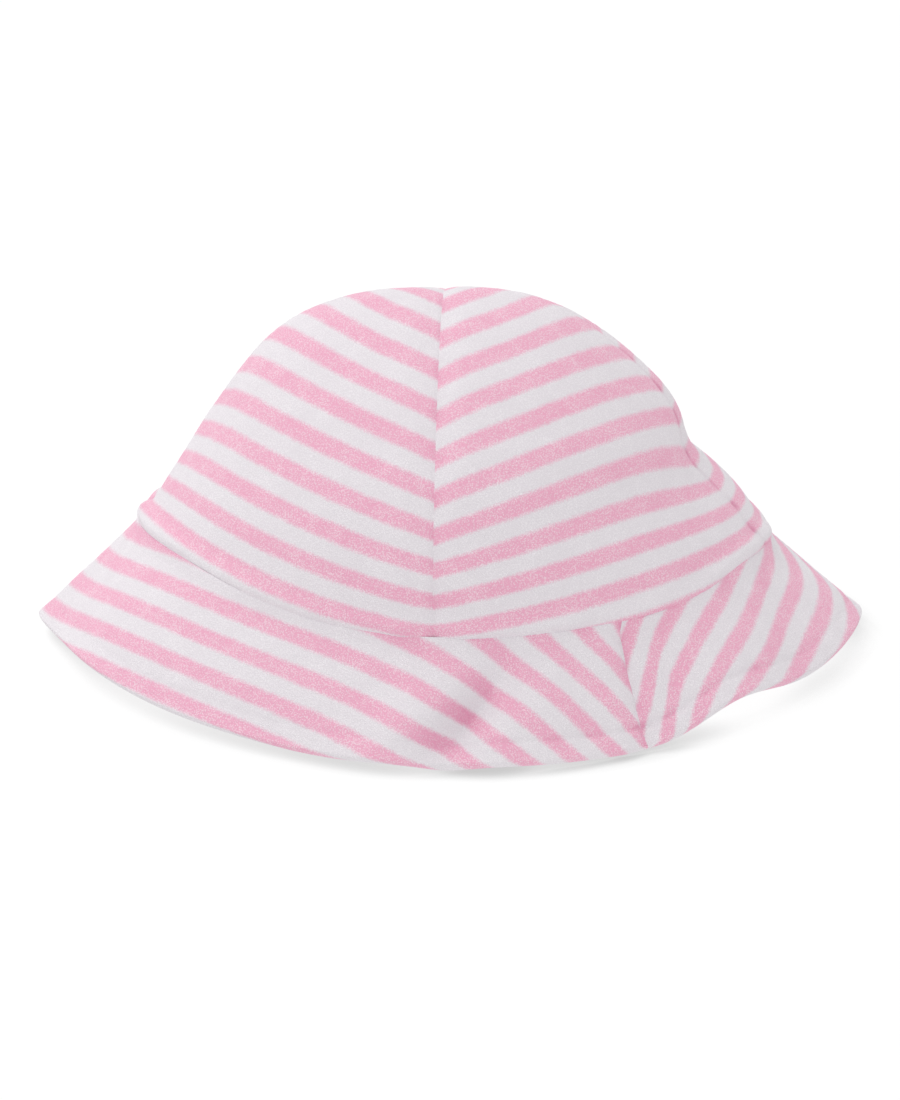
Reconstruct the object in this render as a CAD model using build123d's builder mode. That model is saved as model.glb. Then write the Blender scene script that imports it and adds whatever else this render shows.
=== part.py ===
from build123d import *
from math import cos, exp, hypot, log, radians, sin
import os

# Soft bucket hat: a crown of four gores on a two-piece brim, with a lining and a
# sweatband inside. Millimetres, +Z up. The brim's edge rests on Z = 0, the Z axis is
# the middle of the crown's oval, -Y is the front, and +X is to the right as seen
# from the front. Directions are degrees from +X, anticlockwise seen from above.

# Crown, measured outside the cloth at the seam where it meets the brim
crown_length = 170.0  # left to right
crown_width = 140.0  # front to back
crown_fullness = 0.69  # how far the oval fills its box at 45 degrees: an ellipse has 0.707
crown_height = 68.5  # from the brim seam's lowest stretch up to the ridge

# Shape of the crown's walls: the share of the half length that each side wall loses
# as it leans in, how square each outline turns over into the ridge, and the shallow
# slump in the right side's wall
left_lean = 0.51
left_squareness = 9.6
left_shoulder = 2.6
right_lean = 0.26
right_squareness = 1.6
right_shoulder = 2.6
front_squareness = 1.9
front_shoulder = 1.4
slump_depth = 0.075
slump_level = 0.36
slump_spread = 0.15
crown_levels = (-0.06, 0.08, 0.2, 0.31, 0.42, 0.54, 0.66, 0.77, 0.86, 0.93, 0.975, 0.995)

# Brim, measured from the crown seam down and out to its edge
brim_drop = 27.5
side_reach = 26.0
front_reach = 21.0
brim_fullness = 0.67  # of the rim's oval
rim_point = (180, 16, 0.065)  # direction, spread and depth of the oval's sharper left end

# Soft rise of the crown's hem and waves of the brim's edge: direction, spread and rise
hem_swells = ((-155, 33, 7.0), (-20, 13, 3.0), (25, 14, 2.5), (140, 25, 5.0))
rim_swells = (
    (-161, 18, 4.7),
    (-135, 28, 3.9),
    (-90, 21, 2.1),
    (-40, 12, 6.4),
    (-24, 12, 3.1),
    (-6, 14, 4.5),
    (30, 20, 3.1),
    (168, 18, 2.2),
)
rim_settle = 0.7  # how far the lowest stretches press flat on the surface below

# Seams: the point where the four crown seams meet, their directions from there, and
# the direction of one of the brim's two seams
seam_crossing = (-1.0, 11.0)
crown_seams = {"left": 181.4, "front": 267.7, "right": 344.0, "back": 84.3}
brim_seam_angle = -57.0

# Cloth thicknesses, and the air left between two layers
velour = 2.0
lining_cloth = 0.8
band_tape = 1.0
ease = 0.3
band_height = 22.0

# Depth of each layer below the outer face of the crown or the brim
lining_depth = velour + ease
band_depth = lining_depth + lining_cloth + ease
brim_under_depth = velour + ease


def swell(angle, swells):
    """Rise in a direction, from soft swells given as (direction, spread, rise)."""
    rise = 0
    for direction, spread, height in swells:
        turn = (angle - direction + 180) % 360 - 180
        rise += height * exp(-((turn / spread) ** 2))
    return rise


def oval_radius(angle, half_length, half_width, fullness):
    """Distance from the axis to an oval's outline in a direction."""
    power = log(0.5) / log(fullness)
    across = (abs(cos(radians(angle))) / half_length) ** power
    along = (abs(sin(radians(angle))) / half_width) ** power
    return (across + along) ** (-1 / power)


def crown_shares(level):
    """Shares of the left, right and front half sizes left at a share of the height."""
    rise = max(level, 0)
    slump = slump_depth * exp(-(((level - slump_level) / slump_spread) ** 2))
    left = (1 - left_lean * level) * (1 - rise**left_squareness) ** (1 / left_shoulder)
    right = (1 - right_lean * level) * (1 - rise**right_squareness) ** (1 / right_shoulder)
    front = (1 - rise**front_squareness) ** (1 / front_shoulder)
    return left, right - slump, front


def crown_radius(angle, level, depth=0):
    """Distance from the axis to the crown's wall in a direction, below its outer face."""
    half_sizes = (crown_length / 2, crown_length / 2, crown_width / 2)
    sizes = []
    for half_size, share, middle in zip(half_sizes, crown_shares(level), crown_shares(0.5)):
        run = half_size * (1 - middle) / (crown_height / 2)
        sizes.append((half_size - depth * hypot(1, run)) * share)
    left, right, front = sizes
    half_length = left if cos(radians(angle)) < 0 else right
    return oval_radius(angle, half_length, front, crown_fullness)


def hem_height(angle):
    return brim_drop + swell(angle, hem_swells)


def crown_block(depth):
    """Solid inside the crown's surface at a depth below its outer face."""
    steps = 16
    knots = [step / steps for step in range(steps + 1)]
    with BuildPart() as block:
        for level in crown_levels:
            points = []
            for step in range(steps):
                angle = 360 * step / steps
                radius = crown_radius(angle, level, depth)
                points.append((radius * cos(radians(angle)), radius * sin(radians(angle))))
            z = brim_drop + crown_height * level - depth * max(level, 0)
            with BuildSketch(Plane.XY.offset(z)):
                with BuildLine():
                    add(Edge.make_spline(points, periodic=True, parameters=knots))
                make_face()
        loft()
    return block.part


def half_ring(corners, start):
    """Half a turn about the axis of a section whose corners in each direction are (radius, z)."""
    with BuildPart() as ring:
        for angle in range(0, 181, 10):
            turn = radians(start + angle)
            upright = Plane(origin=(0, 0, 0), x_dir=(cos(turn), sin(turn), 0), z_dir=(sin(turn), -cos(turn), 0))
            with BuildSketch(upright):
                with BuildLine():
                    Polyline(*corners(start + angle), close=True)
                make_face()
        loft()
    return ring.part


def below_hem(rise=0):
    """Wide ring round the axis whose top is the crown's hem, or lies higher than it by a rise."""
    inside, outside = crown_width / 4, crown_length

    def corners(angle):
        top = hem_height(angle) + rise
        return [(inside, -brim_drop), (outside, -brim_drop), (outside, top), (inside, top)]

    with BuildPart() as below:
        add(half_ring(corners, brim_seam_angle))
        add(half_ring(corners, brim_seam_angle + 180))
    return below.part


def brim_corners(angle, outer_depth, inner_depth):
    """Section of a brim layer, from a little above the crown's hem down and out to the rim."""
    hem = crown_radius(angle, swell(angle, hem_swells) / crown_height)
    hem_z = hem_height(angle)
    fullness = brim_fullness - swell(angle, [rim_point])
    half_length = crown_length / 2 + side_reach
    half_width = crown_width / 2 + front_reach
    rim = oval_radius(angle, half_length, half_width, fullness)
    rim_z = swell(angle, rim_swells) - rim_settle
    slant = hypot(hem_z - rim_z, rim - hem) / (hem_z - rim_z)
    outer, inner = outer_depth * slant, inner_depth * slant
    top = hem - (rim - hem) / 20
    top_z = hem_z + (hem_z - rim_z) / 20
    return [(top - outer, top_z), (rim - outer, rim_z), (rim - inner, rim_z), (top - inner, top_z)]


def seam_plane(angle):
    """Upright plane through the seams' crossing that runs in the given direction."""
    return Plane(origin=(*seam_crossing, 0), z_dir=(-sin(radians(angle)), cos(radians(angle)), 0))


os.makedirs("parts", exist_ok=True)
hem = below_hem()

# Crown gores and their lining: each lies between two seams, anticlockwise from its first
gore_seams = {
    "front_left": ("left", "front"),
    "front_right": ("front", "right"),
    "back_right": ("right", "back"),
    "back_left": ("back", "left"),
}
crown_layers = {
    "crown_gore": (0, velour),
    "lining_gore": (lining_depth, lining_depth + lining_cloth),
}
for layer, (outer_depth, inner_depth) in crown_layers.items():
    with BuildPart() as shell:
        add(crown_block(outer_depth))
        add(crown_block(inner_depth), mode=Mode.SUBTRACT)
        add(hem, mode=Mode.SUBTRACT)
    for place, (first, last) in gore_seams.items():
        with BuildPart() as gore:
            add(shell.part)
            split(bisect_by=seam_plane(crown_seams[first]), keep=Keep.TOP)
            split(bisect_by=seam_plane(crown_seams[last]), keep=Keep.BOTTOM)
        gore.part.label = f"{layer}_{place}"
        export_step(gore.part, f"parts/{gore.part.label}.step")

# Sweatband: a tape inside the lining that follows the brim seam
with BuildPart() as sweatband:
    add(crown_block(band_depth))
    add(crown_block(band_depth + band_tape), mode=Mode.SUBTRACT)
    add(below_hem(band_height), mode=Mode.INTERSECT)
    add(hem, mode=Mode.SUBTRACT)
sweatband.part.label = "sweatband"
export_step(sweatband.part, "parts/sweatband.step")

# Brim: an upper and an under side, each of two half rings that meet at the brim seams
brim_starts = {
    "front_left": brim_seam_angle + 180,
    "back_right": brim_seam_angle,
}
brim_layers = {
    "brim_top": (0, velour),
    "brim_under": (brim_under_depth, brim_under_depth + velour),
}
for layer, depths in brim_layers.items():
    for place, start in brim_starts.items():
        with BuildPart() as half:
            add(half_ring(lambda angle: brim_corners(angle, *depths), start))
            add(hem, mode=Mode.INTERSECT)
            split(bisect_by=Plane.XY, keep=Keep.TOP)
        half.part.label = f"{layer}_{place}"
        export_step(half.part, f"parts/{half.part.label}.step")
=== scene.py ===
import math

import bpy
import numpy as np
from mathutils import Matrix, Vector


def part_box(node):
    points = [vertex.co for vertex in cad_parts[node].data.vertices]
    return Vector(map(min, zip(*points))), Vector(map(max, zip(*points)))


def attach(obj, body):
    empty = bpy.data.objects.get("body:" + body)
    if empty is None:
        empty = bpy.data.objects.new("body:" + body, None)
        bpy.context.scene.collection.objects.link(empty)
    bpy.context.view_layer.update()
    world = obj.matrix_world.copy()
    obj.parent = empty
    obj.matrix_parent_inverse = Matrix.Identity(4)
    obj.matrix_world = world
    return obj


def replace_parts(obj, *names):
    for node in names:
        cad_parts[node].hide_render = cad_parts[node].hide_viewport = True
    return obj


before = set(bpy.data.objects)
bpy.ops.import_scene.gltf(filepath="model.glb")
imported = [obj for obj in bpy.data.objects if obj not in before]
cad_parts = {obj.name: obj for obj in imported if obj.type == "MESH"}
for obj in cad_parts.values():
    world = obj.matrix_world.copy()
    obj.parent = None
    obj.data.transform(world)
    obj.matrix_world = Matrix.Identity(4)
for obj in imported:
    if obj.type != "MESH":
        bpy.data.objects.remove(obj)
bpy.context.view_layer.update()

MM = 0.001
GORES = ("front_left", "front_right", "back_right", "back_left")
BRIM_HALVES = ("front_left", "back_right")

# ---- sizes: all in millimetres and degrees, with the hat standing on its brim at z = 0
HALF_LENGTH, HALF_WIDTH = 85.0, 70.0
BRIM_HALF_LENGTH, BRIM_HALF_WIDTH = 111.0, 91.0
CROWN_RISE = 68.5
# the top of the crown's solids lies at this share of its rise, and its hem's level follows from that
TOP_LEVEL = 0.995
HEM_Z = max(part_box(f"crown_gore_{gore}")[1][2] for gore in GORES) / MM - TOP_LEVEL * CROWN_RISE

# the crown's cloth, then how deep below its face the lining and the sweatband start, and how thick they are
VELOUR = 2.0
LINING_GAP, LINING = 2.3, 0.8
BAND_GAP, BAND = 3.4, 1.0
# how far the sweatband reaches up from the hem and below it, and its mean radius
BAND_HEIGHT, BAND_BELOW, BAND_RADIUS = 22.0, 1.4, 76
# half of the brim's thickness, by the crown and at the rim, and half of the gap between its two layers
BRIM_HALF_THICK, RIM_HALF_THICK = 2.15, 1.6
FACING_GAP = 0.15

# the crown's outlines: how far it leans in over its height, how square its shoulder is, the right side's
# waist, and the power of its oval as seen from above
LEFT_LEAN, LEFT_SQUARENESS, LEFT_SHOULDER = 0.51, 9.6, 2.6
RIGHT_LEAN, RIGHT_SQUARENESS, RIGHT_SHOULDER = 0.26, 1.6, 2.6
WAIST, WAIST_AT, WAIST_SPAN = 0.075, 0.36, 0.15
FRONT_SQUARENESS, FRONT_SHOULDER = 1.9, 1.4
CROWN_OVAL = 1.868

# the rim's oval: how full it is at its corners (an ellipse is 0.707), its sharper left end, how far its
# centre line lies inside it, and how far its waves settle
RIM_OVAL = 0.67
RIM_POINT = ((180, 16, 0.065),)
RIM_INSET = 0.8
RIM_SETTLE = 0.7

# the crown seams cross a little behind the middle: how far, as a share of a length over the crown
APEX = (-1.0, 11.0)
APEX_REACH = 99.0
# where on the hem each gore starts, and how much of it the gore takes, in azimuth
SEAM_AT = {
    "front_left": (174.0, 92.5),
    "front_right": (-93.5, 84.5),
    "back_right": (-9.0, 95.0),
    "back_left": (86.0, 88.0),
}
BRIM_SEAM = -57.0

# where the soft crown hem and the rim rise and fall: azimuth, width in degrees, height
HEM_LIFT = ((-155, 33, 7.0), (-20, 13, 3.0), (25, 14, 2.5), (140, 25, 5.0))
RIM_LIFT = (
    (-161, 18, 4.7),
    (-135, 28, 3.9),
    (-90, 21, 2.1),
    (-68, 12, 0.5),
    (-40, 11, 7.0),
    (-24, 12, 3.3),
    (-6, 14, 6.0),
    (30, 20, 3.6),
    (168, 18, 2.2),
    (8, 10, -2.0),
)

# a pink and a white stripe together
STRIPE = 10.3


# ---- curves
def around(degrees):
    """An angle brought to between -180 and 180."""
    return (degrees + 180) % 360 - 180


def hump(x, width):
    """A smooth hump, 1 at x = 0 and fading over that width on both sides."""
    return np.exp(-((x / width) ** 2))


def ease(t):
    """A smooth rise from 0 to 1 as t goes from 0 to 1."""
    t = np.clip(t, 0, 1)
    return t * t * (3 - 2 * t)


def swells(degrees, items):
    """Humps round the hat added up, each given as azimuth, width in degrees and height."""
    total = np.zeros_like(degrees, dtype=float)
    for at, width, height in items:
        total += height * hump(around(degrees - at), width)
    return total


def oval(half_length, half_width, power, angle):
    """Radius of a superellipse along an azimuth."""
    x, y = np.abs(np.cos(angle) / half_length), np.abs(np.sin(angle) / half_width)
    return (x**power + y**power) ** (-1 / power)


def shoulder(up, squareness, power):
    """How much of an outline's width is left at a share of its height."""
    return np.clip(1 - np.clip(up, 0, 1) ** squareness, 0, 1) ** (1 / power)


def lattice(points, size, seed):
    """Smooth noise from -1 to 1 over points, with features of that size."""
    p = points / size + 57.31 * seed + 1000
    cell = np.floor(p).astype(np.int64)
    t = ease(p - cell)
    total = np.zeros(points.shape[:-1])
    for corner in range(8):
        bits = np.array([corner & 1, corner >> 1 & 1, corner >> 2 & 1])
        c = cell + bits
        h = (c[..., 0] * 73856093) ^ (c[..., 1] * 19349663) ^ (c[..., 2] * 83492791) ^ (seed * 2654435761)
        h = ((h ^ (h >> 13)) * 1274126177) & 0xFFFFFF
        weight = np.prod(np.where(bits == 1, t, 1 - t), axis=-1)
        total += weight * (h / 0x7FFFFF - 1)
    return total


def softness(points, amounts):
    """Uneven cloth: noise of several sizes in millimetres, each with its height and seed."""
    return sum(height * lattice(points, size, seed) for size, height, seed in amounts)


def puckers(points, to_line, height, size, reach, seed):
    """Small gathers beside a line of stitches."""
    return height * lattice(points, size, seed) * hump(to_line, reach)


def broken(points, size, seed):
    """From 0 to 1 in patches, for thread that sinks into the pile here and there."""
    return np.clip(0.6 + 0.8 * lattice(points, size, seed), 0, 1)


def rounded(distance, radius):
    """How far a face has turned in at this distance from its edge, for an edge rolled to a radius."""
    inside = np.clip(1 - distance / radius, 0, 1)
    return radius * (1 - np.sqrt(1 - inside**2))


def seam_profile(to_seam, cut, sink, puff):
    """A sewn seam: a cut and a wider sink (depth, reach), and a puff beside it (height, middle, reach)."""
    puffed = puff[0] * hump(to_seam - puff[1], puff[2])
    return -cut[0] * np.exp(-to_seam / cut[1]) - sink[0] * hump(to_seam, sink[1]) + puffed


# ---- the crown's smooth face
def crown_radius(up, angle):
    """Radius of the crown at a share of its full height, along an azimuth."""
    left = (1 - LEFT_LEAN * up) * shoulder(up, LEFT_SQUARENESS, LEFT_SHOULDER)
    waist = WAIST * hump(up - WAIST_AT, WAIST_SPAN)
    right = (1 - RIGHT_LEAN * up) * shoulder(up, RIGHT_SQUARENESS, RIGHT_SHOULDER) - waist
    half_length = HALF_LENGTH * np.where(np.cos(angle) < 0, left, right)
    half_width = HALF_WIDTH * shoulder(up, FRONT_SQUARENESS, FRONT_SHOULDER)
    return oval(np.maximum(half_length, 1e-6), np.maximum(half_width, 1e-6), CROWN_OVAL, angle)


def profile_table(azimuths=721, steps=513, samples=1500):
    """Radius and height of the crown, by azimuth and by the share of the way from its top down to its hem."""
    share = np.linspace(0, 1, steps)
    radii = np.zeros((azimuths, steps))
    heights = np.zeros((azimuths, steps))
    for i, angle in enumerate(np.linspace(-np.pi, np.pi, azimuths)):
        low = swells(np.degrees(angle), HEM_LIFT) / CROWN_RISE
        up = low + (1 - low) * (1 - np.linspace(1, 0, samples) ** 3)
        r = crown_radius(up, angle)
        r[-1] = 0
        r, z = r[::-1], (HEM_Z + CROWN_RISE * up)[::-1]
        along = np.r_[0, np.cumsum(np.hypot(np.diff(r), np.diff(z)))]
        radii[i] = np.interp(share * along[-1], along, r)
        heights[i] = np.interp(share * along[-1], along, z)
    return radii, heights


def lookup(table, angle, share):
    """A table's value between its entries, by azimuth and share."""
    x = np.mod(angle + np.pi, 2 * np.pi) / (2 * np.pi) * (table.shape[0] - 1)
    y = np.clip(share, 0, 1) * (table.shape[1] - 1)
    i = np.clip(np.floor(x).astype(int), 0, table.shape[0] - 2)
    j = np.clip(np.floor(y).astype(int), 0, table.shape[1] - 2)
    u, v = x - i, y - j
    near = table[i, j] * (1 - u) * (1 - v) + table[i + 1, j] * u * (1 - v)
    return near + table[i, j + 1] * (1 - u) * v + table[i + 1, j + 1] * u * v


RADII, HEIGHTS = profile_table()


def crown_surface(qx, qy):
    """The crown's smooth outer face over a unit disc, from where the seams cross to the hem at its edge."""
    fade = np.clip(1 - qx * qx - qy * qy, 0, 1) ** 2 / APEX_REACH
    px, py = qx + APEX[0] * fade, qy + APEX[1] * fade
    share, angle = np.hypot(px, py), np.arctan2(py, px)
    r, z = lookup(RADII, angle, share), lookup(HEIGHTS, angle, share)
    return np.stack([r * np.cos(angle), r * np.sin(angle), z], -1)


def crown_normal(qx, qy, step=0.012):
    """Outward normal of the crown. The sampling stays inside the disc."""
    size = np.maximum(np.hypot(qx, qy), 1e-9)
    pull = np.minimum(1.0, (1 - step) / size)
    qx, qy = qx * pull, qy * pull
    along_x = crown_surface(qx + step, qy) - crown_surface(qx - step, qy)
    along_y = crown_surface(qx, qy + step) - crown_surface(qx, qy - step)
    normal = np.cross(along_x, along_y)
    return normal / np.linalg.norm(normal, axis=-1, keepdims=True)


def arc_table(azimuths=721, steps=401):
    """Distance over the crown from where the seams cross, for each azimuth and share of the way down."""
    angle = np.linspace(-np.pi, np.pi, azimuths)[:, None]
    share = np.linspace(0, 1, steps)[None, :]
    points = crown_surface(share * np.cos(angle), share * np.sin(angle))
    pieces = np.linalg.norm(np.diff(points, axis=1), axis=-1)
    return np.concatenate([np.zeros((azimuths, 1)), np.cumsum(pieces, axis=1)], axis=1)


ARCS = arc_table()

# how the dome bends a gore's straight stripes: terms in the distance from where the seams cross, and in that
# distance as a share of this length
GORE_LENGTH = 110.0
STRIPE_RUN = (0.878, 6.74, 6.28)
STRIPE_BOW = (7.3, 27.7, -30.4)
STRIPE_EDGE = 0.34
# each gore's tilt across its width and its phase
STRIPE_TILT = {
    "front_left": (-5.0, 0.9),
    "front_right": (5.6, -1.2),
    "back_right": (-5.6, -1.2),
    "back_left": (5.0, 0.9),
}
# how far the stripes part at the front seam, and how far they slip towards the hem: below the waist at the
# right seam, and where the hem roll takes them in
SEAM_EASE, SEAM_EASE_WIDTH = 1.3, 30
WAIST_SLIP, SLIP_FROM, SLIP_SPAN = ((-9, 30, 4.0),), 0.62, 0.18
HEM_SLIP, HEM_SLIP_POWER = ((-38, 25, 1.4),), 12


def crown_stripe(gore, share, angle):
    """Stripe number over a gore: straight stripes across the flat gore, which the dome bends."""
    start, span = SEAM_AT[gore]
    tilt, phase = STRIPE_TILT[gore]
    degrees = np.degrees(angle)
    # from -1 at one seam to 1 at the other
    across = ((degrees - start + 20) % 360 - 20) / span * 2 - 1
    along = lookup(ARCS, angle, share)
    down = along / GORE_LENGTH
    bow = STRIPE_BOW[0] * down + STRIPE_BOW[1] * down**2 + STRIPE_BOW[2] * down**3
    flat = STRIPE_RUN[0] * along + STRIPE_RUN[1] * down**2 + STRIPE_RUN[2] * down**3
    front = hump(around(degrees - SEAM_AT["front_right"][0]), SEAM_EASE_WIDTH)
    eased = SEAM_EASE * down**4 * front * (-1 if gore == "front_left" else 1)
    slip = swells(degrees, WAIST_SLIP) * ease((share - SLIP_FROM) / SLIP_SPAN)
    slip = slip + swells(degrees, HEM_SLIP) * share**HEM_SLIP_POWER
    bent = flat - bow * across**2 + STRIPE_EDGE * down * across**4
    return (bent + tilt * across * down + phase + eased - slip) / STRIPE


# ---- the brim's smooth middle
# the brim's width, how far in from its edge the stitches run, and from where on the way down, and over what
# share of it, they draw the brim thin
BRIM_WIDTH = 36.0
STITCH_IN = 6.5
THIN_FROM, THIN_SPAN = 0.6, 0.35

# soft folds of the brim: azimuth, width, share of the way down, span, height, and how far the fold slants
# over the brim
BRIM_FOLDS = (
    (-86, 4.8, 0.62, 0.36, -4.7, -15),
    (-97, 7, 0.7, 0.35, 1.5, -15),
    (-77, 7, 0.64, 0.3, 0.8, -15),
    (-50, 4.0, 0.5, 0.45, -1.5, 0),
    (-34, 7, 0.6, 0.45, 1.0, 0),
    (-18, 8, 0.5, 0.4, -1.3, 0),
)


def rim_centre(angle):
    """The centre line of the rim's rolled edge."""
    degrees = np.degrees(angle)
    power = np.log(0.5) / np.log(RIM_OVAL - swells(degrees, RIM_POINT))
    r = oval(BRIM_HALF_LENGTH - RIM_INSET, BRIM_HALF_WIDTH - RIM_INSET, power, angle)
    z = RIM_HALF_THICK + np.maximum(swells(degrees, RIM_LIFT) - RIM_SETTLE, 0)
    return np.stack([r * np.cos(angle), r * np.sin(angle), z], -1)


def brim_half_thick(down):
    """Half of the brim's thickness: the stitching near the rim draws its layers together."""
    return BRIM_HALF_THICK + (RIM_HALF_THICK - BRIM_HALF_THICK) * ease((down - THIN_FROM) / THIN_SPAN)


def grid_normal(points):
    """Normals of a grid of points."""
    normal = np.cross(np.gradient(points, axis=0), np.gradient(points, axis=1))
    return normal / np.linalg.norm(normal, axis=-1, keepdims=True)


def fold_shape(fold, down, angle):
    """From 0 to 1, where one of the brim's folds is."""
    at, width, level, span, _, slant = fold
    across = around(np.degrees(angle) - at - slant * (down - level))
    return hump(across, width) * hump(down - level, span)


def brim_lift(down, angle):
    """How far the folds lift the brim from its smooth shape."""
    return sum(fold[4] * fold_shape(fold, down, angle) for fold in BRIM_FOLDS)


def brim_middle(down, angle):
    """The middle of the brim's layers and its normal, on a grid from the crown hem (0) to the rim (1)."""
    hem = crown_surface(np.cos(angle), np.sin(angle))
    flat = hem + (rim_centre(angle) - hem) * down[..., None]
    normal = grid_normal(flat)
    middle = flat + normal * (brim_lift(down, angle) - (1 - down) * BRIM_HALF_THICK)[..., None]
    return middle, grid_normal(middle)


# the flat ring piece that a brim half is cut from: its inner radius, and its share of the sewn half's turn
RING_RADIUS = 115.0
BRIM_TURN = 0.67
# how far a fold drags the stripes down, as a share of the brim's width, for each millimetre of its height
FOLD_DRAG = 0.012
# each half's straight stripes: start, pitch and lean over 100 mm
BRIM_STRIPES = {"front_left": (-124.8, 98.1, -0.8), "back_right": (-100.1, 105.1, 2.1)}
# how the brim's slump bends them near where it shows most: azimuth, width, span, then the shift there, across
# it, down it and both together
BRIM_SLUMP = {
    "front_left": (-130, 60, 50, -9.6, 16.1, 7.1, 1.0),
    "back_right": (-30, 30, 25, 1.0, -11.3, 10.5, -6.0),
}


def brim_stripe(half, down, angle):
    """Stripe number over a brim half: straight stripes across the flat piece, bent as the soft brim lies."""
    down = down - FOLD_DRAG * brim_lift(down, angle)
    degrees = np.degrees(angle)
    middle = BRIM_SEAM - 90 if half == "front_left" else BRIM_SEAM + 90
    turn = np.radians(around(degrees - middle)) * BRIM_TURN
    hem = crown_surface(np.cos(angle), np.sin(angle))
    radius = (RING_RADIUS + np.linalg.norm(rim_centre(angle) - hem, axis=-1) * down) / 100
    start, pitch, lean = BRIM_STRIPES[half]
    at, width, span, shift, across, along, both = BRIM_SLUMP[half]
    near, x = hump(around(degrees - at), width), around(degrees - at) / span
    slump = near * (shift + across * x + along * down + both * x * down)
    return (start + pitch * radius * np.cos(turn) + lean * radius * np.sin(turn) + slump) / STRIPE


# ---- meshes
SHARP_ANGLE = math.radians(60)


def sheet_faces(rows, columns, ring):
    """Faces of a closed sheet: front, back, and the strips round its edges, or round both hems of a ring."""
    count = rows * columns
    index = np.arange(count).reshape(rows, columns)
    if ring:
        index = np.concatenate([index, index[:, :1]], axis=1)
    a, b, c, d = index[:-1, :-1], index[:-1, 1:], index[1:, 1:], index[1:, :-1]
    front = np.stack([a, d, c, b], -1).reshape(-1, 4)
    back = np.stack([a, b, c, d], -1).reshape(-1, 4) + count
    edges = [index[0, :], index[-1, ::-1]]
    if not ring:
        edges += [index[::-1, 0], index[:, -1]]
    sides = [np.stack([e[:-1], e[1:], e[1:] + count, e[:-1] + count], -1) for e in edges]
    return np.concatenate([front, back] + sides)


def closed_sheet(name, outer, inner, material, stripe=None, press_and_shade=None, weave=None, ring=False):
    """A closed mesh from the grids of its two faces, with the stripe, the darkening by pressed pile and
    painted shade, and the weave of each point.
    """
    vertices = np.concatenate([outer.reshape(-1, 3), inner.reshape(-1, 3)]) * MM
    faces = sheet_faces(*outer.shape[:2], ring)
    mesh = bpy.data.meshes.new(name)
    mesh.vertices.add(len(vertices))
    mesh.vertices.foreach_set("co", vertices.astype(np.float32).ravel())
    mesh.loops.add(faces.size)
    mesh.loops.foreach_set("vertex_index", faces.astype(np.int32).ravel())
    mesh.polygons.add(len(faces))
    mesh.polygons.foreach_set("loop_start", np.arange(0, faces.size, 4, dtype=np.int32))
    mesh.update(calc_edges=True)
    mesh.validate()
    mesh.polygons.foreach_set("use_smooth", np.ones(len(mesh.polygons), bool))
    mesh.set_sharp_from_angle(angle=SHARP_ANGLE)
    for label, values in (("stripe", stripe), ("press_and_shade", press_and_shade)):
        if values is not None:
            attribute = mesh.attributes.new(label, "FLOAT", "POINT")
            attribute.data.foreach_set("value", np.tile(values.ravel(), 2).astype(np.float32))
    if weave is not None:
        attribute = mesh.attributes.new("weave", "FLOAT_VECTOR", "POINT")
        flat = np.concatenate([weave, np.zeros(weave.shape[:2] + (1,))], axis=-1).reshape(-1, 3)
        attribute.data.foreach_set("vector", np.tile(flat, (2, 1)).astype(np.float32).ravel())
    mesh.materials.append(material)
    piece = bpy.data.objects.new(name, mesh)
    bpy.context.scene.collection.objects.link(piece)
    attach(piece, "root")
    return piece


def ladder(length, fine, coarse, reach_low, reach_high):
    """Shares from 0 to 1 of a length: fine steps within reach of either end, and coarse ones between."""
    low = np.arange(0, reach_low, fine)
    high = length - np.arange(0, reach_high, fine)[::-1]
    count = max(2, int((length - reach_low - reach_high) / coarse) + 1)
    middle = np.linspace(reach_low, length - reach_high, count)
    values = np.unique(np.round(np.concatenate([low, middle, high]), 6))
    values = values[np.r_[True, np.diff(values) > fine * 0.4]]
    values[-1] = length
    return values / length


def gore_grid(gore, shares):
    """A gore's grid over the disc, with grid lines along both its seams and its hem."""
    a, b = np.meshgrid(shares, shares, indexing="ij")
    share = np.maximum(a, b)
    safe = np.maximum(share, 1e-9)
    turn = np.where(a >= b, 0.5 * b / safe, 1 - 0.5 * a / safe)
    start, span = SEAM_AT[gore]
    return share, np.radians(start + span * turn)


def gore_frame(gore, share, angle):
    """Points and normals of a gore's smooth face, and their distances from the nearer seam and the hem."""
    qx, qy = share * np.cos(angle), share * np.sin(angle)
    points, normals = crown_surface(qx, qy), crown_normal(qx, qy)
    start, span = SEAM_AT[gore]
    to_seam = np.full(share.shape, 1e9)
    for edge in (start, start + span):
        e = math.radians(edge)
        seam = crown_surface(share * math.cos(e), share * math.sin(e))
        to_seam = np.minimum(to_seam, np.linalg.norm(points - seam, axis=-1))
    to_hem = lookup(ARCS, angle, np.ones_like(share)) - lookup(ARCS, angle, share)
    return points, normals, to_seam, to_hem


# ---- crown gores, lining and sweatband
# the length along a seam that a gore's grid is laid out for, its steps there (fine and coarse), and how far
# the fine ones reach from the top and from the hem
GORE_SEAM = 104
GORE_STEPS, GORE_FINE = (0.4, 0.75), (5.0, 6.0)
LINING_STEPS, LINING_FINE = (0.8, 1.5), (4.0, 4.0)

CROWN_SEAM_SHAPE = {"cut": (0.3, 0.8), "sink": (0.4, 4.0), "puff": (0.25, 8, 5.0)}
CROWN_SEAM_PUCKERS = {"height": 0.28, "size": 5.5, "reach": 5.5, "seed": 11}
HEM_GATHERS = {"height": 0.35, "size": 7.0, "reach": 7.0, "seed": 12}
# the hem's roll: its height, how far its turned edge reaches, how it fades upwards, and where it is plumper
HEM_ROLL, HEM_ROLL_REACH, HEM_ROLL_FADE = 1.3, 2.3, 2.4
HEM_PLUMP = ((180, 25, 0.8), (-8, 14, 0.5))
# uneven cloth and pile: size, height and seed
CROWN_CLOTH = ((34, 0.55, 1), (13, 0.25, 2), (0.8, 0.08, 3))
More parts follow.
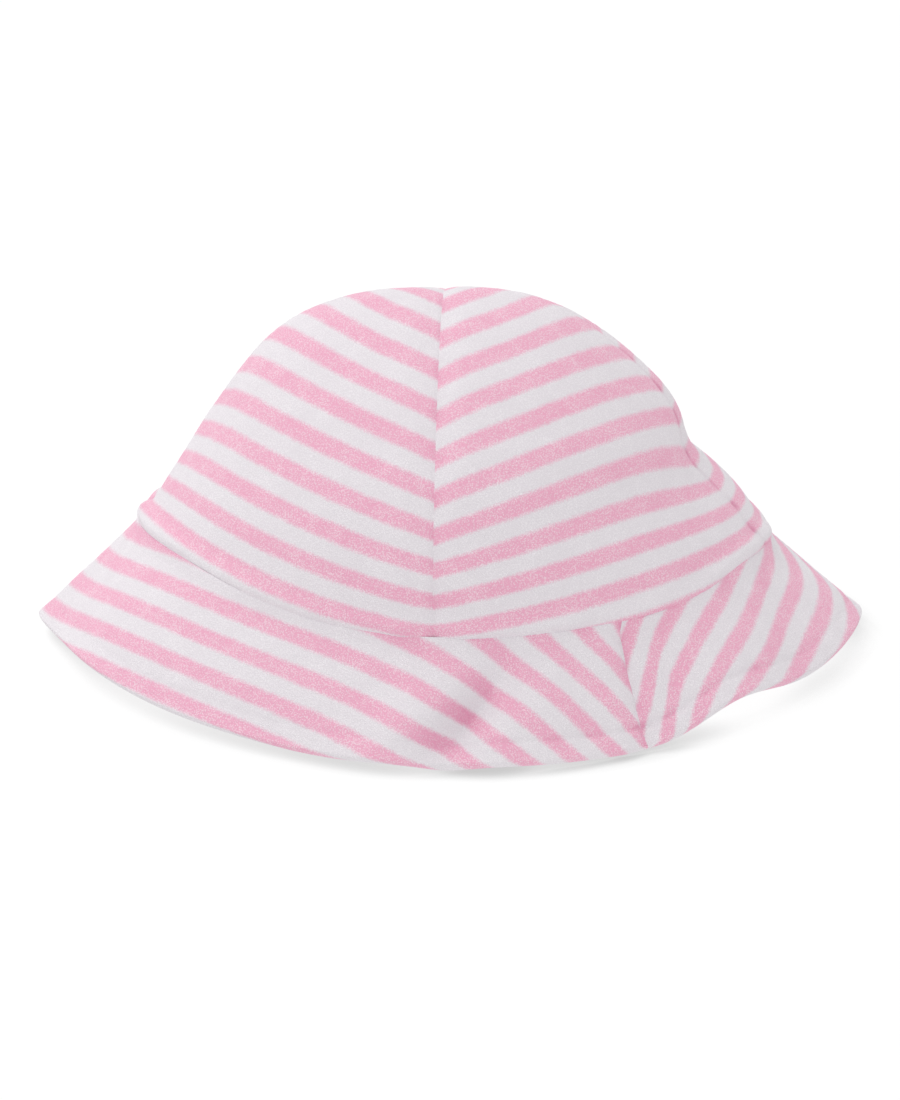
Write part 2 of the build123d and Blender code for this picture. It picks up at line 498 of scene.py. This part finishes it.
# how far the crown's seams darken the pile, partly pressed pile and partly painted shade, how much more at
# the right one and over what width, then how far from the thread they do, and in patches of what size
SEAM_PRESS_SHADE, RIGHT_SEAM_PRESS_SHADE, RIGHT_SEAM_PRESS_SHADE_WIDTH = 0.35, 0.65, 20
SEAM_PRESS_SHADE_REACH, SEAM_PRESS_SHADE_PATCH = 1.3, 2.4

# the lining: its uneven cloth, how slack it hangs, how far its seams stand out inwards, and their puckers
LINING_CLOTH = ((26, 0.5, 21), (9, 0.3, 22))
LINING_SLACK = 0.3
LINING_SEAM, LINING_SEAM_REACH = 0.55, 0.9
LINING_PUCKER, LINING_PUCKER_SIZE = 0.35, 6

# the tape: its ripples, which grow upwards, its grain (size, height and seed), the stitches' depth, width and
# distance from its edges, and the edges' own strip and roundness
BAND_RIPPLE, BAND_GRAIN = ((9, 0.55, 31),), ((3.5, 0.2, 32),)
BAND_STITCH, BAND_STITCH_WIDTH, BAND_STITCH_IN = 0.3, 0.7, 2.6
BAND_EDGE, BAND_ROUND = 1.0, 0.45


def crown_relief(points, angle, to_seam, to_hem):
    """What stands out from the smooth crown: its seams, the puffed hem roll, soft dents and the pile."""
    seam = seam_profile(to_seam, **CROWN_SEAM_SHAPE) + puckers(points, to_seam, **CROWN_SEAM_PUCKERS)
    plump = 1 + swells(np.degrees(angle), HEM_PLUMP)
    turned = HEM_ROLL - rounded(to_hem, HEM_ROLL_REACH) * HEM_ROLL / HEM_ROLL_REACH
    hem_roll = plump * turned * hump(np.maximum(to_hem - HEM_ROLL_REACH, 0), HEM_ROLL_FADE)
    gathers = puckers(points, to_hem, **HEM_GATHERS) * np.clip(to_hem / HEM_ROLL_REACH, 0, 1)
    return seam + hem_roll + gathers + softness(points, CROWN_CLOTH) * np.clip(to_hem / 2, 0.15, 1)


def make_crown_gore(gore, material):
    """One striped gore of the crown, with its seams, its hem roll and its pile."""
    share, angle = gore_grid(gore, ladder(GORE_SEAM, *GORE_STEPS, *GORE_FINE))
    points, normals, to_seam, to_hem = gore_frame(gore, share, angle)
    outer = points + normals * crown_relief(points, angle, to_seam, to_hem)[..., None]
    inner = points - normals * VELOUR
    # painted shade with pressed pile: the seams darken the pile, more beside the right seam
    beside_right = around(np.degrees(angle) - SEAM_AT["back_right"][0])
    seam_press_shade = SEAM_PRESS_SHADE + RIGHT_SEAM_PRESS_SHADE * hump(beside_right, RIGHT_SEAM_PRESS_SHADE_WIDTH)
    press_and_shade = seam_press_shade * hump(to_seam, SEAM_PRESS_SHADE_REACH) * broken(points, SEAM_PRESS_SHADE_PATCH, 13)
    stripe = crown_stripe(gore, share, angle)
    piece = closed_sheet(f"gore_{gore}", outer, inner, material, stripe, press_and_shade)
    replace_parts(piece, f"crown_gore_{gore}")


def make_lining_gore(gore, material):
    """One gore of the thin lining, whose seams stand out inwards."""
    share, angle = gore_grid(gore, ladder(GORE_SEAM, *LINING_STEPS, *LINING_FINE))
    points, normals, to_seam, to_hem = gore_frame(gore, share, angle)
    soft = np.minimum(softness(points, LINING_CLOTH) - LINING_SLACK, 0)
    seam = LINING_SEAM * np.exp(-to_seam / LINING_SEAM_REACH)
    gathers = np.abs(lattice(points, LINING_PUCKER_SIZE, 23))
    pucker = -LINING_PUCKER * gathers * hump(to_seam, LINING_PUCKER_SIZE)
    outer = points - normals * LINING_GAP
    inner = points - normals * (LINING_GAP + LINING - seam - pucker - soft)[..., None]
    weave = np.stack([np.degrees(angle) / 90 * GORE_LENGTH * share, share * GORE_SEAM], -1)
    piece = closed_sheet(f"lining_{gore}", outer, inner, material, weave=weave)
    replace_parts(piece, f"lining_gore_{gore}")


def make_sweatband(material):
    """The tape round the inside of the hem, stitched along both its edges."""
    angle = np.linspace(-np.pi, np.pi, 721)[:-1]
    low, high = BAND_EDGE, BAND_HEIGHT - BAND_EDGE
    rows = [np.linspace(-BAND_BELOW, low, 9), np.linspace(low, high, 34), np.linspace(high, BAND_HEIGHT, 5)]
    up, turn = np.meshgrid(np.unique(np.concatenate(rows)), angle, indexing="ij")
    arcs = lookup(ARCS, turn, np.ones_like(up))
    share = np.clip(1 - np.maximum(up, 0) / arcs, 0, 1)
    qx, qy = share * np.cos(turn), share * np.sin(turn)
    points, normals = crown_surface(qx, qy), crown_normal(qx, qy)
    points[..., 2] += np.minimum(up, 0)
    edge = np.minimum(up + BAND_BELOW, BAND_HEIGHT - up)
    stitched = -BAND_STITCH * hump(edge - BAND_STITCH_IN, BAND_STITCH_WIDTH)
    grown = np.clip(up / BAND_HEIGHT, 0, 1) ** 2
    ripple = softness(points, BAND_RIPPLE) * grown + softness(points, BAND_GRAIN)
    # apart from its rounded edges the tape stays between 0.5 and 1.9 mm thick
    inwards = BAND + np.clip(ripple + stitched + 0.1, -0.5, 0.9) - rounded(edge, BAND_ROUND) * 0.9
    outer = points - normals * BAND_GAP
    inner = points - normals * (BAND_GAP + inwards)[..., None]
    weave = np.stack([turn * BAND_RADIUS, up], -1)
    piece = closed_sheet("sweatband_tape", outer[::-1], inner[::-1], material, weave=weave[::-1], ring=True)
    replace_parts(piece, "sweatband")


# ---- brim
# a half's length round, between the hem and the rim, its grid's steps (fine and coarse) along that and down,
# and how far the fine ones reach from each end
HALF_ROUND = 290
HALF_STEPS, HALF_FINE = (0.4, 0.7), (5.0, 5.0)
DOWN_STEPS, DOWN_FINE = (0.4, 0.55), (1.5, 6.0)
# the front seam's slant at the hem, its shift back all along, and the width that both fade over
SEAM_SLANT, SEAM_SLANT_BACK, SEAM_SLANT_WIDTH = 3.2, 0.5, 25

BRIM_SEAM_SHAPE = {"cut": (0.4, 1.2), "sink": (0.8, 3.5), "puff": (0.4, 7, 4.0)}
BRIM_SEAM_PUCKERS = {"height": 0.5, "size": 5.0, "reach": 6.0, "seed": 41}
STITCH_PUCKERS = {"height": 0.25, "size": 5.0, "reach": 3.5, "seed": 42}
BRIM_CLOTH = ((30, 0.4, 43), (12, 0.25, 44), (0.8, 0.08, 45))
# how wide and deep the topstitching sinks, and where it is deeper
STITCH_WIDTH, STITCH_DEPTH = 1.0, 0.15
STITCH_DEEPER = ((-55, 25, 0.4),)
# how far from the topstitching's thread it presses the pile and darkens it with painted shade, and in patches
# of what size
STITCH_PRESS_SHADE_REACH, STITCH_PRESS_SHADE_PATCH = 0.7, 2.6
# how far the pile is darkened, partly pressed pile and partly painted shade, in the seams, in the main fold's
# crease (there all painted shade, a little beside the fold's middle on its flank turned from the key light),
# and against the crown
BRIM_SEAM_PRESS_SHADE, CREASE_PAINTED_SHADE, CREASE_SHADE_SHIFT = 0.55, 0.75, math.radians(2.5)
HEM_PRESS_SHADE, HEM_PRESS_SHADE_REACH = 0.15, 1.6
# the brim's relief fades in over this distance from the hem, where it swells against the crown
HEM_FADE = 3
HEM_BEAD, HEM_BEAD_REACH = 1.1, 2.6
# the rim's roll: how far round the edge each side's layer goes, its steps, and how far it reaches out, as a
# share of its half thickness
TOP_ROLL, FACING_ROLL, ROLL_STEPS = math.radians(150), math.radians(30), 12
ROLL_REACH = 0.5


def brim_grid(half):
    """A brim half's grid, whose sides are its two seams."""
    start = BRIM_SEAM if half == "back_right" else BRIM_SEAM - 180
    turn = start + 180 * ladder(HALF_ROUND, *HALF_STEPS, *HALF_FINE)
    down, turn = np.meshgrid(ladder(BRIM_WIDTH, *DOWN_STEPS, *DOWN_FINE), turn, indexing="ij")
    beside = hump(around(turn - BRIM_SEAM), SEAM_SLANT_WIDTH)
    slant = (SEAM_SLANT * (1 - down) ** 2 - SEAM_SLANT_BACK) * beside
    return down, np.radians(turn + slant)


def brim_piece(name, half, side, material):
    """One half of the brim's top (side 1) or underside (side -1), rolled over its share of the rim's edge."""
    down, angle = brim_grid(half)
    middle, normal = brim_middle(down, angle)
    to_rim = np.linalg.norm(middle - middle[-1:], axis=-1) + RIM_HALF_THICK
    to_seam = np.full(down.shape, 1e9)
    for column in (0, -1):
        to_seam = np.minimum(to_seam, np.linalg.norm(middle - middle[:, column][:, None], axis=-1))
    to_stitch, to_hem = to_rim - STITCH_IN, down * BRIM_WIDTH

    face = middle + side * normal * brim_half_thick(down)[..., None]
    pucker = puckers(face, to_seam, **BRIM_SEAM_PUCKERS) + puckers(face, to_stitch, **STITCH_PUCKERS)
    stitch_depth = STITCH_DEPTH + swells(np.degrees(angle), STITCH_DEEPER)
    relief = seam_profile(to_seam, **BRIM_SEAM_SHAPE) + pucker + softness(face, BRIM_CLOTH)
    relief = relief - stitch_depth * hump(to_stitch, STITCH_WIDTH)
    relief = relief * np.clip(to_hem / HEM_FADE, 0, 1) + HEM_BEAD * hump(to_hem, HEM_BEAD_REACH)
    face = face + side * normal * relief[..., None]

    # painted shade with pressed pile along the stitches, the seams and the hem against the crown
    thread = hump(to_stitch, STITCH_PRESS_SHADE_REACH) * broken(face, STITCH_PRESS_SHADE_PATCH, 46)
    sunk_and_shaded = hump(to_seam, SEAM_PRESS_SHADE_REACH) * broken(face, SEAM_PRESS_SHADE_PATCH, 47)
    # painted shade: the fold's crease darkened on its flank turned from the key light
    crease_shade = fold_shape(BRIM_FOLDS[0], down, angle + CREASE_SHADE_SHIFT)
    press_and_shade = stitch_depth * thread + BRIM_SEAM_PRESS_SHADE * sunk_and_shaded + CREASE_PAINTED_SHADE * crease_shade
    press_and_shade = np.clip(press_and_shade + HEM_PRESS_SHADE * np.exp(-to_hem / HEM_PRESS_SHADE_REACH), 0, 1)

    ends = np.linspace(0, TOP_ROLL if side > 0 else FACING_ROLL, ROLL_STEPS + 1)[1:]
    forward = np.cross(np.gradient(middle, axis=1)[-1], normal[-1])
    forward = ROLL_REACH * forward / np.linalg.norm(forward, axis=-1, keepdims=True)
    spokes = np.stack([side * normal[-1] * math.cos(e) + forward * math.sin(e) for e in ends])
    radius = RIM_HALF_THICK + np.outer(1 - ends / ends[-1], relief[-1])
    outer = np.concatenate([face, middle[-1] + radius[..., None] * spokes])
    inner = np.concatenate([middle + side * normal * FACING_GAP, middle[-1] + FACING_GAP * spokes])

    stripe = brim_stripe(half, down, angle)
    slope = (stripe[-1] - stripe[-2]) / np.linalg.norm(middle[-1] - middle[-2], axis=-1)
    past = np.outer(ends * RIM_HALF_THICK, slope)
    stripe = np.concatenate([stripe, stripe[-1] + past])
    press_and_shade = np.concatenate([press_and_shade, np.zeros(past.shape)])
    if side < 0:
        outer, inner, stripe, press_and_shade = outer[:, ::-1], inner[:, ::-1], stripe[:, ::-1], press_and_shade[:, ::-1]
    piece = closed_sheet(name, outer, inner, material, stripe, press_and_shade)
    return piece


# ---- materials: noise sizes in metres, as the objects' coordinates are, and weave sizes in millimetres
def linear(*srgb):
    """A colour written in 0-255 screen values, for a shader's socket."""
    c = np.array(srgb) / 255
    return (*np.where(c <= 0.04045, c / 12.92, ((c + 0.055) / 1.055) ** 2.4), 1)


WHITE = (1, 1, 1, 1)


class Nodes:
    """Builds the node tree of one material or world."""

    def __init__(self, owner, output="ShaderNodeOutputMaterial"):
        owner.use_nodes = True
        self.owner, self.tree = owner, owner.node_tree
        self.tree.nodes.clear()
        self.output = self.tree.nodes.new(output)

    def add(self, kind, inputs=(), **settings):
        node = self.tree.nodes.new(kind)
        for key, value in settings.items():
            setattr(node, key, value)
        for socket, value in dict(inputs).items():
            if isinstance(value, bpy.types.NodeSocket):
                self.tree.links.new(value, node.inputs[socket])
            else:
                node.inputs[socket].default_value = value
        return node

    def math(self, operation, *values):
        return self.add("ShaderNodeMath", dict(enumerate(values)), operation=operation).outputs[0]

    def total(self, *values):
        """Several values added up, the first two first."""
        result = values[0]
        for value in values[1:]:
            result = self.math("ADD", result, value)
        return result

    def scaled(self, value, factor, offset=None):
        if offset is None:
            return self.math("MULTIPLY", value, factor)
        return self.math("MULTIPLY_ADD", value, factor, offset)

    def ramp(self, value, low, high, to_low=0.0, to_high=1.0, kind="SMOOTHSTEP"):
        spans = {"Value": value, "From Min": low, "From Max": high, "To Min": to_low, "To Max": to_high}
        return self.add("ShaderNodeMapRange", spans, interpolation_type=kind).outputs[0]

    def noise(self, vector, size, detail=2.0, roughness=0.5):
        inputs = {"Vector": vector, "Scale": 1 / size, "Detail": detail, "Roughness": roughness}
        return self.add("ShaderNodeTexNoise", inputs).outputs[0]

    def attribute(self, name, output="Fac"):
        return self.add("ShaderNodeAttribute", attribute_name=name).outputs[output]

    def mix(self, factor, a, b):
        return self.add("ShaderNodeMix", {0: factor, 6: a, 7: b}, data_type="RGBA").outputs[2]

    def bump(self, height, strength, distance):
        inputs = {"Strength": strength, "Distance": distance, "Height": height}
        return self.add("ShaderNodeBump", inputs).outputs[0]

    def seen(self):
        """1 where the surface is seen, directly, in gloss or through glass, and 0 for the light it gives."""
        path = self.add("ShaderNodeLightPath")
        indirect = self.math("MAXIMUM", path.outputs["Is Glossy Ray"], path.outputs["Is Transmission Ray"])
        return self.math("MAXIMUM", path.outputs["Is Camera Ray"], indirect)

    def finish(self, shader):
        self.tree.links.new(shader.outputs[0], self.output.inputs[0])
        return self.owner

    def cloth(self, colour, normal, roughness, specular, **more):
        """Ends a cloth material with its surface shader."""
        inputs = {"Base Color": colour, "Roughness": roughness, "Specular IOR Level": specular}
        return self.finish(self.add("ShaderNodeBsdfPrincipled", {**inputs, **more, "Normal": normal}))


def velour_material():
    """Looped velour in pink and white stripes: upright loops, paler at their tips, with soft stripe edges."""
    loop, fleck_size, patch = 0.00042, 0.00036, 0.006
    drift, shred = 0.0045, 0.0004
    # the offset of the stripe count, and how far from the pink's middle its colour starts and ends to fade
    first, full_pink, no_pink = 0.26, 0.155, 0.325
    n = Nodes(bpy.data.materials.new("striped_velour"))
    where = n.add("ShaderNodeTexCoord").outputs["Object"]

    # the stripes wander a little over several loops, and their edges are ragged by single loops
    wander = n.scaled(n.noise(where, drift), 0.06, -0.03)
    ragged = n.scaled(n.noise(where, shred, 1.0), 0.14, -0.07)
    place = n.total(n.total(n.attribute("stripe"), first), n.total(wander, ragged))
    centre = n.math("ABSOLUTE", n.math("SUBTRACT", n.math("FRACT", place), 0.5))
    pink = n.ramp(centre, full_pink, no_pink, 1.0, 0.0)

    # the pile: loops with lit tips, flecks inside them, and patches where it lies one way
    cells = {"Vector": where, "Scale": 1 / loop, "Randomness": 1.0}
    loops = n.add("ShaderNodeTexVoronoi", cells, feature="F1").outputs["Distance"]
    tips = n.ramp(loops, 0.1, 0.75, 1.0, 0.0)
    fleck = n.noise(where, fleck_size, 2.0, 0.65)
    nap = n.noise(where, patch, 3.0, 0.55)
    light = n.total(n.scaled(tips, 0.55), n.scaled(fleck, 0.9), n.scaled(nap, 0.5, -0.45))
    depth = n.ramp(light, 0.25, 0.95)
    pink_pile = n.mix(depth, linear(244, 179, 204), linear(255, 224, 235))
    white_pile = n.mix(depth, linear(236, 230, 235), linear(249, 244, 248))
    # the darker colour of pressed pile and painted shade, laid on where each point is pressed or shaded
    sunk_and_shaded = n.mix(pink, linear(229, 221, 227), linear(222, 142, 174))
    colour = n.mix(n.scaled(n.attribute("press_and_shade"), 0.8), n.mix(pink, white_pile, pink_pile), sunk_and_shaded)
    height = n.total(n.scaled(tips, 0.6), n.scaled(fleck, 0.8))
    sheen = {"Sheen Weight": 0.18, "Sheen Roughness": 0.45}
    return n.cloth(colour, n.bump(height, 0.5, 0.0003), 0.95, 0.12, **sheen)


def weave_axes(n):
    parts = n.add("ShaderNodeSeparateXYZ", {"Vector": n.attribute("weave", "Vector")})
    return parts.outputs[0], parts.outputs[1]


def ridges(n, value, pitch):
    """Rounded ridges of a pitch, from 0 to 1, along a value in millimetres."""
    return n.scaled(n.math("SINE", n.scaled(value, 2 * math.pi / pitch)), 0.5, 0.5)


def lining_material():
    """Fine white cotton jersey with its small knit columns and a little wear."""
    column, row = 0.9, 0.7
    bend, wear = 0.004, 0.018
    n = Nodes(bpy.data.materials.new("cotton_lining"))
    where = n.add("ShaderNodeTexCoord").outputs["Object"]
    across, along = weave_axes(n)
    wobble = n.scaled(n.noise(where, bend), 0.8, -0.4)
    columns = ridges(n, n.total(across, wobble), column)
    rows = ridges(n, n.total(along, wobble), row)
    knit = n.total(n.scaled(columns, 0.6), n.scaled(rows, 0.4))
    shade = n.total(n.scaled(knit, 0.6), n.scaled(n.noise(where, wear, 3.0), 0.4))
    colour = n.mix(shade, linear(226, 222, 216), linear(244, 242, 238))
    return n.cloth(colour, n.bump(knit, 0.5, 0.0002), 0.9, 0.2, **{"Sheen Weight": 0.1})


def tape_material():
    """Cotton twill tape: slanting ribs over a fine yarn grain."""
    rib, yarn = 1.1, 0.42
    wear = 0.012
    n = Nodes(bpy.data.materials.new("band_tape"))
    where = n.add("ShaderNodeTexCoord").outputs["Object"]
    across, along = weave_axes(n)
    ribs = ridges(n, n.total(across, n.scaled(along, 0.8)), rib)
    weave = n.total(n.scaled(ribs, 0.7), n.scaled(ridges(n, along, yarn), 0.3))
    shade = n.total(n.scaled(weave, 0.65), n.scaled(n.noise(where, wear, 3.0), 0.35))
    colour = n.mix(shade, linear(218, 213, 208), linear(243, 240, 236))
    return n.cloth(colour, n.bump(weave, 0.6, 0.00025), 0.85, 0.25)


# ---- the hat
velour, lining, tape = velour_material(), lining_material(), tape_material()
for gore in GORES:
    make_crown_gore(gore, velour)
    make_lining_gore(gore, lining)
make_sweatband(tape)
for half in BRIM_HALVES:
    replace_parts(brim_piece(f"brim_{half}", half, 1, velour), f"brim_top_{half}")
    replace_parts(brim_piece(f"brim_facing_{half}", half, -1, velour), f"brim_under_{half}")


# ---- floor, lights and camera
# half of the paper's side, in metres
FLOOR_HALF = 6.0
# the light that the paper gives, and the painted shadow that darkens its white near the hat: within this
# reach, along this lean, and from this openness up to that one, between these two whites
PAPER_GLOW = 0.84
SHADE_REACH, SHADE_LEAN, SHADE_SAMPLES = 0.013, (-0.75, 0.1, 0.65), 16
SHADE_OPEN, SHADE_WHITE = (0.42, 0.82), (0.54, 0.97)
# the light all round
WORLD_GLOW = 0.7
# the camera: its distance in metres, its rise, the height in metres that it aims at, its focal length in
# pixels of an image this high, and its sensor's width in millimetres
CAMERA_DISTANCE, CAMERA_RISE, CAMERA_AIM = 0.8, math.radians(22), 0.0232
FOCAL_PIXELS, IMAGE_HEIGHT, SENSOR = 2976, 1100, 36


def floor_material():
    """White paper: it lights the hat softly from below, and is seen as pure white with a painted shadow of
    the hat.
    """
    n = Nodes(bpy.data.materials.new("floor_paper"))
    paper = n.add("ShaderNodeEmission", {"Color": WHITE, "Strength": PAPER_GLOW})
    shaded = n.add("ShaderNodeBsdfDiffuse", {"Color": (0.05, 0.05, 0.05, 1)})
    lean = n.add("ShaderNodeCombineXYZ", dict(enumerate(SHADE_LEAN))).outputs[0]
    around_it = {"Distance": SHADE_REACH, "Normal": lean}
    # painted shadow: the paper's white darkens with how enclosed each point is near the hat, not by a lamp
    near = n.add("ShaderNodeAmbientOcclusion", around_it, samples=SHADE_SAMPLES).outputs["AO"]
    shade = n.ramp(near, *SHADE_OPEN, *SHADE_WHITE, "LINEAR")
    glow = n.add("ShaderNodeEmission", {"Color": WHITE, "Strength": shade})
    lit = n.add("ShaderNodeAddShader", {0: shaded.outputs[0], 1: glow.outputs[0]})
    return n.finish(n.add("ShaderNodeMixShader", {0: n.seen(), 1: paper.outputs[0], 2: lit.outputs[0]}))


def add_floor():
    """A wide sheet of the paper at z = 0."""
    mesh = bpy.data.meshes.new("floor")
    corners = [(-FLOOR_HALF, -FLOOR_HALF, 0), (FLOOR_HALF, -FLOOR_HALF, 0), (FLOOR_HALF, FLOOR_HALF, 0)]
    mesh.from_pydata(corners + [(-FLOOR_HALF, FLOOR_HALF, 0)], [], [(0, 1, 2, 3)])
    mesh.materials.append(floor_material())
    floor = bpy.data.objects.new("floor", mesh)
    bpy.context.scene.collection.objects.link(floor)


def add_world():
    """Soft light all round, and pure white behind the hat."""
    n = Nodes(bpy.data.worlds.new("studio"), "ShaderNodeOutputWorld")
    soft = n.add("ShaderNodeBackground", {"Color": WHITE, "Strength": WORLD_GLOW})
    back = n.add("ShaderNodeBackground", {"Color": WHITE, "Strength": 1.0})
    mix = n.add("ShaderNodeMixShader", {0: n.seen(), 1: soft.outputs[0], 2: back.outputs[0]})
    bpy.context.scene.world = n.finish(mix)


def add_lamp(name, place, spread_angle, strength):
    """A broad studio light from that side, as even over the floor as over the hat."""
    lamp = bpy.data.lights.new(name, "SUN")
    lamp.angle = math.radians(spread_angle)
    lamp.energy = strength
    holder = bpy.data.objects.new(name, lamp)
    holder.location = place
    holder.rotation_mode = "QUATERNION"
    holder.rotation_quaternion = (-Vector(place)).to_track_quat("-Z", "Y")
    bpy.context.scene.collection.objects.link(holder)


def add_camera():
    """Square on to the front of the hat, looking down at it."""
    data = bpy.data.cameras.new("camera")
    data.sensor_width = SENSOR
    data.lens = FOCAL_PIXELS / IMAGE_HEIGHT * SENSOR
    data.clip_start, data.clip_end = 0.05, 20
    camera = bpy.data.objects.new("camera", data)
    back, up = CAMERA_DISTANCE * math.cos(CAMERA_RISE), CAMERA_DISTANCE * math.sin(CAMERA_RISE)
    camera.location = (0, -back, CAMERA_AIM + up)
    camera.rotation_euler = (math.pi / 2 - CAMERA_RISE, 0, 0)
    bpy.context.scene.collection.objects.link(camera)
    bpy.context.scene.camera = camera


add_floor()
add_world()
add_lamp("key", (-0.53, 0.44, 0.82), 60, 1.09)
add_lamp("fill", (0.1, -1.0, 0.35), 120, 0.46)
add_camera()
bpy.context.scene.view_settings.view_transform = "Standard"
